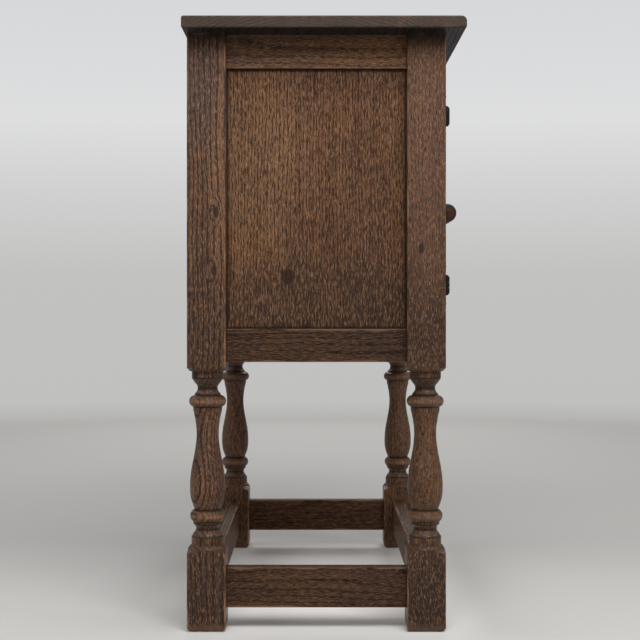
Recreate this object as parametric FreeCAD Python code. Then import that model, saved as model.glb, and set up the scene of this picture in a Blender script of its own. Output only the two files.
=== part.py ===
import FreeCAD, Part
import math
import os

V = FreeCAD.Vector

# An oak side cabinet on turned legs, in millimetres.
# The floor is at height zero, the front faces -Y, and left and right are as seen from the front.

# Carcass: four posts of square stock, each one piece from the floor to the top board
overall_height = 804.0
carcass_width = 654.0
carcass_depth = 341.0
post_size = 51.0
post_arris = 1.5
foot_round = 6.0

# Top board
top_thickness = 16.0
top_side_overhang = 34.0
top_front_overhang = 24.0
top_back_overhang = 4.5
top_nose_upper_round = 7.0
top_nose_lower_round = 3.0
top_back_round = 3.0
top_end_round = 2.5

# Turned middle of a leg, and the rounded shoulders where the lathe runs out into the square blocks.
# A shoulder passes a lip beside the collar, then the middle of the block's face, then the block's corner.
turning_bottom = 112.0
turning_top = 342.0
foot_lip_radius = 23.8
foot_lip_drop = 2.0
foot_face_drop = 4.6
foot_corner_drop = 10.1
block_lip_radius = 24.4
block_lip_rise = 0.6
block_face_rise = 2.4
block_corner_rise = 6.0

# Outline of the turning, from the foot up. Heights are shares of the turned length and radii are shares of
# half the post. A line has its end, an arc has a point on the way and its end, and a curve has every point.
turning_start_shares = (0.0, 0.839)
turning_shares = (
    ("line", (0.045, 0.839)),
    ("line", (0.050, 0.800)),
    ("line", (0.067, 0.715)),
    ("arc", (0.091, 0.607), (0.118, 0.749)),
    ("line", (0.134, 0.749)),
    ("line", (0.134, 0.776)),
    ("arc", (0.165, 0.912), (0.199, 0.735)),
    ("line", (0.203, 0.680)),
    ("curve", (0.228, 0.767), (0.256, 0.851), (0.326, 0.922), (0.414, 0.872), (0.505, 0.724), (0.635, 0.575),
     (0.716, 0.637), (0.774, 0.752)),
    ("line", (0.796, 0.765)),
    ("line", (0.796, 0.790)),
    ("arc", (0.827, 0.968), (0.859, 0.760)),
    ("line", (0.862, 0.680)),
    ("line", (0.872, 0.668)),
    ("arc", (0.9035, 0.520), (0.930, 0.640)),
    ("line", (0.955, 0.800)),
    ("line", (0.962, 0.820)),
    ("line", (1.0, 0.827)),
)

# Rails between the posts
top_rail_height = 44.0
bottom_rail_height = 44.0
bottom_rail_level = 354.5
side_rail_thickness = 20.0
side_rail_setback = 14.0
front_rail_setback = 2.0
back_rail_thickness = 20.0
back_rail_setback = 6.0

# Stretchers between the feet
stretcher_level = 29.0
stretcher_height = 53.0
stretcher_thickness = 19.0

# Mortise and tenon joints of the carcass
tenon_thickness = 8.0
tenon_length = 18.0
tenon_shoulder = 10.0
mortise_end_gap = 1.0

# Framed panels, held in grooves and free to move in them
side_panel_thickness = 8.0
back_panel_thickness = 6.0
panel_groove_depth = 8.0
panel_groove_gap = 1.0

# Stopped chamfers on the outer arrises
rail_chamfer = 4.6
rail_chamfer_gap = 18.0
rail_chamfer_stop = 17.0
stretcher_chamfer = 6.0
stretcher_chamfer_gap = 12.0
stretcher_chamfer_stop = 20.0

# Inside: the cupboard floor in grooves, and a shelf on two bearers
floor_board_thickness = 10.0
floor_board_drop = 16.0
floor_board_tongue = 6.0
board_gap = 0.5
shelf_level = 560.0
shelf_thickness = 12.0
shelf_front_gap = 20.0
bearer_thickness = 12.0
bearer_height = 18.0
bearer_stub = 8.0
bearer_panel_gap = 6.0

# Doors
door_thickness = 20.0
door_side_gap = 1.5
door_meeting_gap = 2.0
door_end_gap = 1.5
door_stile_width = 50.0
door_rail_height = 50.0
door_tenon_thickness = 6.0
door_tenon_length = 30.0
door_tenon_shoulder = 10.0
door_panel_tongue = 6.0
door_panel_groove = 8.0
door_bevel_width = 26.0
door_bevel_rise = 3.0
door_field_rise = 1.2
door_chamfer = 3.0
door_chamfer_gap = 8.0
door_chamfer_stop = 12.0

# Turned knobs: distances from the door's face, and radii
knob_reach = 45.0
knob_head_radius = 14.4
knob_neck_reach = 18.5
knob_waist_radius = 6.5
knob_waist_reach = 9.0
knob_flange_thickness = 2.0
knob_flange_radius = 9.5
knob_spigot_radius = 5.0
knob_spigot_length = 15.0
knob_socket_gap = 1.0

# Hinges: two leaves on the faces of post and door, and a barrel proud of the joint between them
hinge_end_distance = 57.0
hinge_axis_reach = 5.8
hinge_leaf_thickness = 2.0
hinge_leaf_width = 15.0
hinge_leaf_height = 62.0
hinge_leaf_round = 5.0
hinge_leaf_gap = 1.5
knuckle_radius = 4.0
knuckle_length = 7.0
knuckle_gap = 0.3
knuckle_notch_gap = 0.4
hinge_pin_radius = 1.75
hinge_pin_clearance = 0.06
hinge_finial_radius = 3.2

# Forged nails in the hinge leaves: a square shank and a hammered head with facets
nail_inset = 9.0
nail_pitch = 50.0
nail_head_radius = 2.7
nail_crown_radius = 1.3
nail_head_rim = 0.7
nail_head_height = 2.4
nail_head_facets = 8
nail_shank_size = 1.9
nail_shank_length = 12.0

# Buttons that hold the top board to the rails
button_length = 26.0
button_width = 24.0
button_tongue_length = 7.0
button_tongue_thickness = 7.0
button_drop = 10.0
button_slot_gap = 1.0
button_spacing_x = 300.0
button_spacing_y = 120.0

# Countersunk screws
screw_head_radius = 3.8
screw_head_height = 2.6
screw_shank_radius = 2.0
button_screw_length = 26.0
catch_screw_length = 22.0

# Magnetic catch behind the top rail, and a strike plate on each door
catch_width = 52.0
catch_thickness = 12.0
catch_lap = 15.0
catch_drop = 14.0
catch_screw_spacing = 30.0
magnet_width = 16.0
magnet_height = 8.0
magnet_depth = 5.0
magnet_spacing = 26.0
catch_air_gap = 0.5
strike_thickness = 1.5
strike_width = 20.0
strike_height = 11.0
strike_prong_size = 1.5
strike_prong_length = 7.0
strike_prong_spacing = 12.0

# How far a cutter passes the face that it opens
overrun = 2.0

# Places that follow from the sizes above
carcass_height = overall_height - top_thickness
front = (max(knob_reach, top_front_overhang) - carcass_depth - top_back_overhang) / 2
back = front + carcass_depth
half_width = carcass_width / 2
post_inner = half_width - post_size
front_post_back = front + post_size
back_post_front = back - post_size
opening_x = (-post_inner, post_inner)
opening_y = (front_post_back, back_post_front)
top_rail_bottom = carcass_height - top_rail_height
bottom_rail_top = bottom_rail_level + bottom_rail_height
door_back = front + door_thickness
front_rail_back = door_back + strike_thickness + catch_air_gap
floor_board_level = bottom_rail_top - floor_board_drop - floor_board_thickness


def span(a, b):
    """Two limits in rising order."""
    return (min(a, b), max(a, b))


def grown(limits, amount):
    """Limits moved apart by the same amount at both ends."""
    return (limits[0] - amount, limits[1] + amount)


def about(middle, size):
    """Limits of a size centred on a place."""
    return (middle - size / 2, middle + size / 2)


def block(x, y, z):
    """Rectangular solid between its limits on each axis."""
    return Part.makeBox(x[1] - x[0], y[1] - y[0], z[1] - z[0], V(x[0], y[0], z[0]))


def bar(axis, along, across, z):
    """Rectangular solid whose length runs along X or along Y."""
    if axis == "x":
        return block(along, across, z)
    return block(across, along, z)


def oriented(shape, origin, along, normal):
    """Shape with its own X turned to one direction, its own Y to another, and its origin moved."""
    side = along.cross(normal)
    matrix = FreeCAD.Matrix(
        along.x, normal.x, side.x, origin.x,
        along.y, normal.y, side.y, origin.y,
        along.z, normal.z, side.z, origin.z,
        0, 0, 0, 1,
    )
    moved = shape.copy()
    moved.Placement = FreeCAD.Placement(matrix)
    return moved


def turned(outline, origin, direction):
    """Solid of revolution, from (distance, radius) points along its axis, set on a place and a direction."""
    points = [V(radius, 0, distance) for distance, radius in outline]
    wire = Part.makePolygon(points + [points[0]])
    return stood(Part.Face(wire).revolve(V(0, 0, 0), V(0, 0, 1), 360), origin, direction)


def stood(shape, origin, direction):
    """Shape that was made along Z, moved to a place and turned to a direction."""
    moved = shape.copy()
    moved.Placement = FreeCAD.Placement(origin, FreeCAD.Rotation(V(0, 0, 1), direction))
    return moved


def cut_all(shape, cutters):
    """Shape less the cutters whose boxes reach it."""
    near = [c for c in cutters if c.BoundBox.intersect(shape.BoundBox)]
    return shape.cut(near) if near else shape


def tenoned(axis, along, across, z, thickness=tenon_thickness, length=tenon_length, shoulder=tenon_shoulder):
    """Board with a stub tenon centred on each end, and the two pockets that take the tenons."""
    cheeks = about(sum(across) / 2, thickness)
    cheek_z = grown(z, -shoulder)
    board = bar(axis, along, across, z).fuse(bar(axis, grown(along, length), cheeks, cheek_z)).removeSplitter()
    depth = length + mortise_end_gap
    pockets = [
        bar(axis, (along[0] - depth, along[0] + overrun), cheeks, cheek_z),
        bar(axis, (along[1] - overrun, along[1] + depth), cheeks, cheek_z),
    ]
    return board, pockets


def stopped_chamfer(start, end, faces, size, gap, stop):
    """Cutter for a chamfer along an arris. It runs out in a curve before each end.

    faces are the outward normals of the two faces that meet at the arris, and size is the chamfer's width on each.
    """
    along = (end - start).normalize()
    normal = (faces[0] + faces[1]).normalize()
    depth = size / math.sqrt(2)
    radius = (stop ** 2 + depth ** 2) / (2 * depth)
    middle_rise = radius - math.sqrt(radius ** 2 - (stop / 2) ** 2)
    near, far = gap, (end - start).Length - gap
    corners = [V(near, 0, 0), V(near + stop, -depth, 0), V(far - stop, -depth, 0), V(far, 0, 0)]
    edges = [
        Part.Arc(corners[0], V(near + stop / 2, middle_rise - depth, 0), corners[1]).toShape(),
        Part.makeLine(corners[1], corners[2]),
        Part.Arc(corners[2], V(far - stop / 2, middle_rise - depth, 0), corners[3]).toShape(),
        Part.makeLine(corners[3], V(far, overrun, 0)),
        Part.makeLine(V(far, overrun, 0), V(near, overrun, 0)),
        Part.makeLine(V(near, overrun, 0), corners[0]),
    ]
    wedge = Part.Face(Part.Wire(edges)).extrude(V(0, 0, 2 * size))
    wedge.translate(V(0, 0, -size))
    return oriented(wedge, start, along, normal)


def screw_outline(length, shank, head, head_height):
    """Countersunk screw, from its flat head to its end."""
    return [(0, 0), (0, head), (-head_height, shank), (-length, shank), (-length, 0)]


def turning_outline():
    """Closed outline of the leg's envelope: the turned middle, its shoulders, and room for the square blocks."""
    half = post_size / 2
    corner = post_size * math.sqrt(0.5)
    outside = corner + overrun
    length = turning_top - turning_bottom

    def place(shares):
        return V(half * shares[1], 0, turning_bottom + length * shares[0])

    def shoulder(base, *rises):
        return [V(radius, 0, base + rise) for radius, rise in rises]

    start = place(turning_start_shares)
    foot = [start] + shoulder(turning_bottom, (foot_lip_radius, -foot_lip_drop), (half, -foot_face_drop),
                              (corner, -foot_corner_drop))
    edges = [
        Part.makeLine(V(0, 0, -overrun), V(outside, 0, -overrun)),
        Part.makeLine(V(outside, 0, -overrun), V(outside, 0, foot[-1].z)),
        Part.makeLine(V(outside, 0, foot[-1].z), foot[-1]),
    ]
    edges += [Part.makeLine(a, b) for a, b in zip(foot[::-1], foot[-2::-1])]
    here = start
    for form, *rest in turning_shares:
        points = [here] + [place(shares) for shares in rest]
        if form == "line":
            edges.append(Part.makeLine(*points))
        elif form == "arc":
            edges.append(Part.Arc(*points).toShape())
        else:
            curve = Part.BSplineCurve()
            curve.interpolate(points)
            edges.append(curve.toShape())
        here = points[-1]
    upper = [here] + shoulder(turning_top, (block_lip_radius, block_lip_rise), (half, block_face_rise),
                              (corner, block_corner_rise))
    above = carcass_height + overrun
    edges += [Part.makeLine(a, b) for a, b in zip(upper, upper[1:])]
    edges += [
        Part.makeLine(upper[-1], V(outside, 0, upper[-1].z)),
        Part.makeLine(V(outside, 0, upper[-1].z), V(outside, 0, above)),
        Part.makeLine(V(outside, 0, above), V(0, 0, above)),
        Part.makeLine(V(0, 0, above), V(0, 0, -overrun)),
    ]
    return Part.Wire(edges)


def leg_blank():
    """Square post with its arrises eased and its middle turned, centred on the vertical axis."""
    side = about(0, post_size)
    stock = block(side, side, (0, carcass_height))
    upright = [e for e in stock.Edges if abs(e.Vertexes[0].Z - e.Vertexes[-1].Z) > post_size]
    stock = stock.makeFillet(post_arris, upright)
    underfoot = [e for e in stock.Edges if e.BoundBox.ZMax < post_arris]
    stock = stock.makeFillet(foot_round, underfoot)
    envelope = Part.Face(turning_outline()).revolve(V(0, 0, 0), V(0, 0, 1), 360)
    return stock.common(envelope)


def make_top_board():
    """Top board with a rounded nose along the front and eased ends."""
    y0 = front - top_front_overhang
    y1 = back + top_back_overhang
    half = half_width + top_side_overhang
    board = block((-half, half), (y0, y1), (carcass_height, overall_height))

    def long_edge(y, z):
        return [e for e in board.Edges if e.Length > half and all(
            math.isclose(v.Y, y) and math.isclose(v.Z, z) for v in e.Vertexes)]

    board = board.makeFillet(top_nose_upper_round, long_edge(y0, overall_height))
    board = board.makeFillet(top_nose_lower_round, long_edge(y0, carcass_height))
    board = board.makeFillet(top_back_round, long_edge(y1, overall_height) + long_edge(y1, carcass_height))
    ends = [e for e in board.Edges if e.BoundBox.XLength < post_arris]
    return board.makeFillet(top_end_round, ends)


def make_rails():
    """Rails and stretchers by name, with the mortises for the posts and the slots' inner faces."""
    top_z = (top_rail_bottom, carcass_height)
    bottom_z = (bottom_rail_level, bottom_rail_top)
    low_z = (stretcher_level, stretcher_level + stretcher_height)
    post_middle_x = half_width - post_size / 2
    boards, mortises = {}, []

    def add(name, axis, along, across, z):
        boards[name], pockets = tenoned(axis, along, across, z)
        mortises.extend(pockets)

    for side, sign in (("left", -1), ("right", 1)):
        outer = sign * (half_width - side_rail_setback)
        across = span(outer, outer - sign * side_rail_thickness)
        add(side + "_top_rail", "y", opening_y, across, top_z)
        add(side + "_bottom_rail", "y", opening_y, across, bottom_z)
        add(side + "_stretcher", "y", opening_y, about(sign * post_middle_x, stretcher_thickness), low_z)
    front_y = (front + front_rail_setback, front_rail_back)
    back_y = (back - back_rail_setback - back_rail_thickness, back - back_rail_setback)
    for side, across in (("front", front_y), ("back", back_y)):
        add(side + "_top_rail", "x", opening_x, across, top_z)
        add(side + "_bottom_rail", "x", opening_x, across, bottom_z)
    for side, middle in (("front", front + post_size / 2), ("back", back - post_size / 2)):
        add(side + "_stretcher", "x", opening_x, about(middle, stretcher_thickness), low_z)
    return boards, mortises


def chamfer_cutters():
    """Stopped chamfers by rail name, on the outer upper arrises of the low rails and stretchers."""
    cutters = {}
    up = V(0, 0, 1)
    low = stretcher_level + stretcher_height
    thick = stretcher_thickness / 2
    stretcher_form = (stretcher_chamfer, stretcher_chamfer_gap, stretcher_chamfer_stop)
    for side, sign in (("left", -1), ("right", 1)):
        out = V(sign, 0, 0)
        x = sign * (half_width - side_rail_setback)
        cutters[side + "_bottom_rail"] = stopped_chamfer(
            V(x, opening_y[0], bottom_rail_top), V(x, opening_y[1], bottom_rail_top), (out, up),
            rail_chamfer, rail_chamfer_gap, rail_chamfer_stop)
        x = sign * (half_width - post_size / 2 + thick)
        cutters[side + "_stretcher"] = stopped_chamfer(
            V(x, opening_y[0], low), V(x, opening_y[1], low), (out, up), *stretcher_form)
    for side, sign, y in (("front", -1, front + post_size / 2 - thick), ("back", 1, back - post_size / 2 + thick)):
        cutters[side + "_stretcher"] = stopped_chamfer(
            V(opening_x[0], y, low), V(opening_x[1], y, low), (V(0, sign, 0), up), *stretcher_form)
    return cutters


def make_panels():
    """Side and back panels by name, and the grooves that hold them."""
    z = grown((bottom_rail_top, top_rail_bottom), panel_groove_depth)
    panels, grooves = {}, []

    def add(name, axis, along, middle, thickness):
        across = about(middle, thickness)
        reach = grown(along, panel_groove_depth)
        panels[name] = bar(axis, reach, across, z)
        grooves.append(bar(axis, grown(reach, panel_groove_gap), across, grown(z, panel_groove_gap)))

    for side, sign in (("left", -1), ("right", 1)):
        middle = sign * (half_width - side_rail_setback - side_rail_thickness / 2)
        add(side + "_panel", "y", opening_y, middle, side_panel_thickness)
    add("back_panel", "x", opening_x, back - back_rail_setback - back_rail_thickness / 2, back_panel_thickness)
    return panels, grooves


def post_boxes(gap):
    """The four posts as plain boxes, with room around them."""
    xs = ((-half_width, -post_inner), (post_inner, half_width))
    ys = ((front, front_post_back), (back_post_front, back))
    return [block(grown(x, gap), grown(y, gap), (0, carcass_height)) for x in xs for y in ys]


def make_floor_board():
    """Cupboard floor, notched round the posts, and its groove in the four bottom rails."""
    inner_x = half_width - side_rail_setback - side_rail_thickness + floor_board_tongue
    inner_y = (front_rail_back - floor_board_tongue,
               back - back_rail_setback - back_rail_thickness + floor_board_tongue)
    z = (floor_board_level, floor_board_level + floor_board_thickness)
    groove = block((-inner_x, inner_x), inner_y, z)
    board = block(grown((-inner_x, inner_x), -board_gap), grown(inner_y, -board_gap), z)
    return board.cut(post_boxes(board_gap)), groove


def make_shelf():
    """Shelf, notched round the posts, the bearers under it, and the sockets for their stubs."""
    panel_face = half_width - side_rail_setback - side_rail_thickness / 2 - side_panel_thickness / 2
    back_face = back - back_rail_setback - back_rail_thickness / 2 - back_panel_thickness / 2
    y = (door_back + shelf_front_gap, back_face - board_gap)
    z = (shelf_level, shelf_level + shelf_thickness)
    shelf = block(grown((-panel_face, panel_face), -board_gap), y, z).cut(post_boxes(board_gap))
    parts, sockets = {"shelf": shelf}, []
    for side, sign in (("left", -1), ("right", 1)):
        outer = sign * (panel_face - bearer_panel_gap)
        across = span(outer, outer - sign * bearer_thickness)
        z = (shelf_level - bearer_height, shelf_level)
        parts[side + "_shelf_bearer"] = bar("y", grown(opening_y, bearer_stub), across, z)
        sockets.append(bar("y", grown(opening_y, bearer_stub + mortise_end_gap), across, z))
    return parts, sockets


def make_buttons():
    """Buttons with their screws under the top board, and the slots that their tongues turn into."""
    side_face = half_width - side_rail_setback - side_rail_thickness
    back_face = back - back_rail_setback - back_rail_thickness
    middle_y = (front + back) / 2
    seats = []
    for sign in (-1, 1):
        seats.append(("y", sign * button_spacing_x / 2, front_rail_back, 1))
        seats.append(("y", sign * button_spacing_x / 2, back_face, -1))
        seats.append(("x", middle_y + sign * button_spacing_y / 2, -side_face, 1))
        seats.append(("x", middle_y + sign * button_spacing_y / 2, side_face, -1))
    ceiling = carcass_height - button_drop
    underside = ceiling - button_tongue_thickness
    outline = screw_outline(button_screw_length, screw_shank_radius, screw_head_radius, screw_head_height)
    buttons, screws, slots = [], [], []
    for axis, place, face, inward in seats:
        across = about(place, button_width)
        body = bar(axis, span(face, face + inward * button_length), across, (underside, carcass_height))
        tip = face - inward * button_tongue_length
        body = body.fuse(bar(axis, span(tip, face), across, (underside, ceiling))).removeSplitter()
        middle = face + inward * button_length / 2
        at = V(middle, place, underside) if axis == "x" else V(place, middle, underside)
        screw = turned(outline, at, V(0, 0, -1))
        buttons.append(body.cut(screw))
        screws.append(screw)
        slot_tip = tip - inward * button_slot_gap
        slots.append(bar(axis, span(slot_tip, face + inward * overrun), grown(across, button_slot_gap),
                         (underside - button_slot_gap, ceiling)))
    return buttons, screws, slots


def make_catch():
    """Magnetic catch: a case screwed behind the top rail, with two magnets that face the doors."""
    y = (front_rail_back, front_rail_back + catch_thickness)
    z = (top_rail_bottom - catch_drop, top_rail_bottom + catch_lap)
    case = block(about(0, catch_width), y, z)
    magnets, screws = [], []
    magnet_z = about(top_rail_bottom - catch_drop / 2, magnet_height)
    outline = screw_outline(catch_screw_length, screw_shank_radius, screw_head_radius, screw_head_height)
    for sign in (-1, 1):
        middle = sign * magnet_spacing / 2
        magnets.append(block(about(middle, magnet_width), (y[0], y[0] + magnet_depth), magnet_z))
        at = V(sign * catch_screw_spacing / 2, y[1], top_rail_bottom + catch_lap / 2)
        screws.append(turned(outline, at, V(0, 1, 0)))
    return case.cut(magnets + screws), magnets, screws


def hinge_heights():
    """Middle heights of the two hinges of a door."""
    low = bottom_rail_top + door_end_gap + hinge_end_distance
    high = top_rail_bottom - door_end_gap - hinge_end_distance
    return (("lower", low), ("upper", high))


def hinge_leaf(own, other, hole_radius):
    """Hinge leaf on the +X side of its barrel, with its face towards +Y.

    own and other are the middle heights of the knuckles on this leaf and on its mate.
    """
    floor = -hinge_axis_reach
    plate = block((hinge_leaf_gap / 2, hinge_leaf_width), (floor, floor + hinge_leaf_thickness),
                  about(0, hinge_leaf_height))
    corners = [e for e in plate.Edges if abs(e.BoundBox.YLength - hinge_leaf_thickness) < knuckle_gap
               and e.BoundBox.XMin > nail_inset]
    plate = plate.makeFillet(hinge_leaf_round, corners)
    notch_reach = knuckle_radius + knuckle_notch_gap
    for middle in other:
        plate = plate.cut(block((-overrun, notch_reach), grown((floor, floor + hinge_leaf_thickness), overrun),
                                about(middle, knuckle_length + 2 * knuckle_gap)))
    for middle in own:
        z = about(middle, knuckle_length)
        barrel = Part.makeCylinder(knuckle_radius, knuckle_length, V(0, 0, z[0]), V(0, 0, 1))
        plate = plate.fuse([barrel, block((0, knuckle_radius), (floor, 0), z)])
    bore = Part.makeCylinder(hole_radius, hinge_leaf_height, V(0, 0, -hinge_leaf_height / 2), V(0, 0, 1))
    holes = [nail(V(nail_inset, floor + hinge_leaf_thickness, sign * nail_pitch / 2), V(0, 1, 0))
             for sign in (-1, 1)]
    return plate.cut([bore] + holes).removeSplitter()


def hinge_pin():
    """Hinge pin along Z, with a domed finial on each end of the barrel."""
    end = 1.5 * knuckle_length + knuckle_gap
    pin = Part.makeCylinder(hinge_pin_radius, 2 * end, V(0, 0, -end), V(0, 0, 1))
    for sign in (-1, 1):
        dome = Part.makeSphere(hinge_finial_radius, V(0, 0, 0), V(0, 0, sign), 0, 90, 360)
        dome.translate(V(0, 0, sign * end))
        pin = pin.fuse(dome)
    return pin.removeSplitter()


def ring(radius, height):
    """Closed polygon of the nail's facets, level at a height."""
    turns = [2 * math.pi * (i + 0.5) / nail_head_facets for i in range(nail_head_facets + 1)]
    return Part.makePolygon([V(radius * math.cos(a), radius * math.sin(a), height) for a in turns])


def nail(at, direction):
    """Nail whose head rests on a place, with its crown towards a direction."""
    side = about(0, nail_shank_size)
    shank = block(side, side, (-nail_shank_length, 0))
    rim = Part.Face(ring(nail_head_radius, 0)).extrude(V(0, 0, nail_head_rim))
    crown = Part.makeLoft([ring(nail_head_radius, nail_head_rim), ring(nail_crown_radius, nail_head_height)],
                          True, True)
    return stood(shank.fuse([rim, crown]).removeSplitter(), at, direction)


def make_hinges(sign, side):
    """Leaves, pins and nails of one door's two hinges."""
    inward = V(-sign, 0, 0)
    out = V(0, -1, 0)
    x = sign * (post_inner - door_side_gap / 2)
    pitch = knuckle_length + knuckle_gap
    door_leaf = hinge_leaf([0], [-pitch, pitch], hinge_pin_radius + hinge_pin_clearance)
    post_leaf = hinge_leaf([-pitch, pitch], [0], hinge_pin_radius)
    parts, pins, door_nails, post_nails = {}, [], [], []
    for level, z in hinge_heights():
        axis = V(x, front - hinge_axis_reach, z)
        parts[f"{side}_{level}_hinge_door_leaf"] = oriented(door_leaf, axis, inward, out)
        parts[f"{side}_{level}_hinge_post_leaf"] = oriented(post_leaf, axis, inward * -1, out)
        pin = hinge_pin()
        pin.translate(axis)
        pins.append(pin)
        for end in (-1, 1):
            nail_z = z + end * nail_pitch / 2
            face = front - hinge_leaf_thickness
            door_nails.append(nail(V(x - sign * nail_inset, face, nail_z), out))
            post_nails.append(nail(V(x + sign * nail_inset, face, nail_z), out))
    return parts, pins, door_nails, post_nails


def knob_profile():
    """Closed outline of a ball-headed knob and its spigot, with the axis along Z and the door's face at zero."""
    centre = knob_reach - knob_head_radius
    neck_radius = math.sqrt(knob_head_radius ** 2 - (centre - knob_neck_reach) ** 2)
    slant = knob_head_radius * math.sqrt(0.5)
    neck = V(neck_radius, 0, knob_neck_reach)
    rim = V(knob_flange_radius, 0, knob_flange_thickness)
    foot = V(knob_spigot_radius, 0, -knob_spigot_length)
    tip = V(0, 0, knob_reach)
    edges = [
        Part.makeLine(V(0, 0, foot.z), foot),
        Part.makeLine(foot, V(foot.x, 0, 0)),
        Part.makeLine(V(foot.x, 0, 0), V(rim.x, 0, 0)),
        Part.makeLine(V(rim.x, 0, 0), rim),
        Part.Arc(rim, V(knob_waist_radius, 0, knob_waist_reach), neck).toShape(),
        Part.Arc(neck, V(slant, 0, centre + slant), tip).toShape(),
        Part.makeLine(tip, V(0, 0, foot.z)),
    ]
    return Part.Wire(edges)


def make_knob(x, z):
    """Knob on the door's face, and the blind socket for its spigot."""
    at = V(x, front, z)
    knob = stood(Part.Face(knob_profile()).revolve(V(0, 0, 0), V(0, 0, 1), 360), at, V(0, -1, 0))
    depth = knob_spigot_length + knob_socket_gap
    socket = Part.makeCylinder(knob_spigot_radius, depth + overrun, V(x, front - overrun, z), V(0, 1, 0))
    return knob, socket


def fielded_panel(x, z):
    """Door panel: a thin tongue all round, a bevelled border and a raised field. x and z are its sight limits."""
    middle = front + door_thickness / 2
    tongue = about(middle, door_panel_tongue)
    panel = block(grown(x, door_panel_groove), tongue, grown(z, door_panel_groove))
    rims = []
    for inset, y in ((0, tongue[0]), (door_bevel_width, tongue[0] - door_bevel_rise)):
        (x0, x1), (z0, z1) = grown(x, -inset), grown(z, -inset)
        rims.append(Part.makePolygon([V(x0, y, z0), V(x1, y, z0), V(x1, y, z1), V(x0, y, z1), V(x0, y, z0)]))
    bevel = Part.makeLoft(rims, True, True)
    crown = tongue[0] - door_bevel_rise
    inset = door_bevel_width + door_field_rise
    field = block(grown(x, -inset), (crown - door_field_rise, crown), grown(z, -inset))
    groove = block(grown(x, door_panel_groove + panel_groove_gap), tongue,
                   grown(z, door_panel_groove + panel_groove_gap))
    return panel.fuse([bevel, field]).removeSplitter(), groove


def make_door(sign, side):
    """One door by piece: two stiles, two rails, a fielded panel, a knob and a strike plate on two prongs."""
    y = (front, door_back)
    z = grown((bottom_rail_top, top_rail_bottom), -door_end_gap)
    hinge_edge = sign * (post_inner - door_side_gap)
    meeting_edge = sign * door_meeting_gap / 2
    hinge_sight = hinge_edge - sign * door_stile_width
    meeting_sight = meeting_edge + sign * door_stile_width
    sight_x = span(hinge_sight, meeting_sight)
    sight_z = grown(z, -door_rail_height)
    tenon = (door_tenon_thickness, door_tenon_length, door_tenon_shoulder)
    top_rail, top_pockets = tenoned("x", sight_x, y, (sight_z[1], z[1]), *tenon)
    bottom_rail, bottom_pockets = tenoned("x", sight_x, y, (z[0], sight_z[0]), *tenon)
    panel, groove = fielded_panel(sight_x, sight_z)
    knob, socket = make_knob((meeting_edge + meeting_sight) / 2, sum(z) / 2)

    face = V(0, -1, 0)
    form = (door_chamfer, door_chamfer_gap, door_chamfer_stop)
    chamfers = {
        "top_rail": stopped_chamfer(
            V(sight_x[0], front, sight_z[1]), V(sight_x[1], front, sight_z[1]), (face, V(0, 0, -1)), *form),
        "bottom_rail": stopped_chamfer(
            V(sight_x[0], front, sight_z[0]), V(sight_x[1], front, sight_z[0]), (face, V(0, 0, 1)), *form),
        "hinge_stile": stopped_chamfer(
            V(hinge_sight, front, sight_z[0]), V(hinge_sight, front, sight_z[1]), (face, V(-sign, 0, 0)), *form),
        "meeting_stile": stopped_chamfer(
            V(meeting_sight, front, sight_z[0]), V(meeting_sight, front, sight_z[1]), (face, V(sign, 0, 0)), *form),
    }

    strike_x = sign * magnet_spacing / 2
    strike_z = about(top_rail_bottom - catch_drop / 2, strike_height)
    strike = block(about(strike_x, strike_width), (door_back, door_back + strike_thickness), strike_z)
    prongs = [block(about(strike_x + end * strike_prong_spacing / 2, strike_prong_size),
                    (door_back - strike_prong_length, door_back), about(sum(strike_z) / 2, strike_prong_size))
              for end in (-1, 1)]

    cutters = top_pockets + bottom_pockets + [groove, socket] + prongs
    pieces = {
        "hinge_stile": block(span(hinge_edge, hinge_sight), y, z),
        "meeting_stile": block(span(meeting_edge, meeting_sight), y, z),
    }
    pieces = {name: cut_all(shape, cutters) for name, shape in pieces.items()}
    pieces["top_rail"] = top_rail.cut([groove])
    pieces["bottom_rail"] = bottom_rail.cut(groove)
    pieces = {name: shape.cut(chamfers[name]) for name, shape in pieces.items()}
    pieces["panel"] = panel
    named = {f"{side}_door_{name}": shape for name, shape in pieces.items()}
    named[f"{side}_knob"] = knob
    named[f"{side}_strike_plate"] = strike.fuse(prongs).removeSplitter()
    return named


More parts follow.
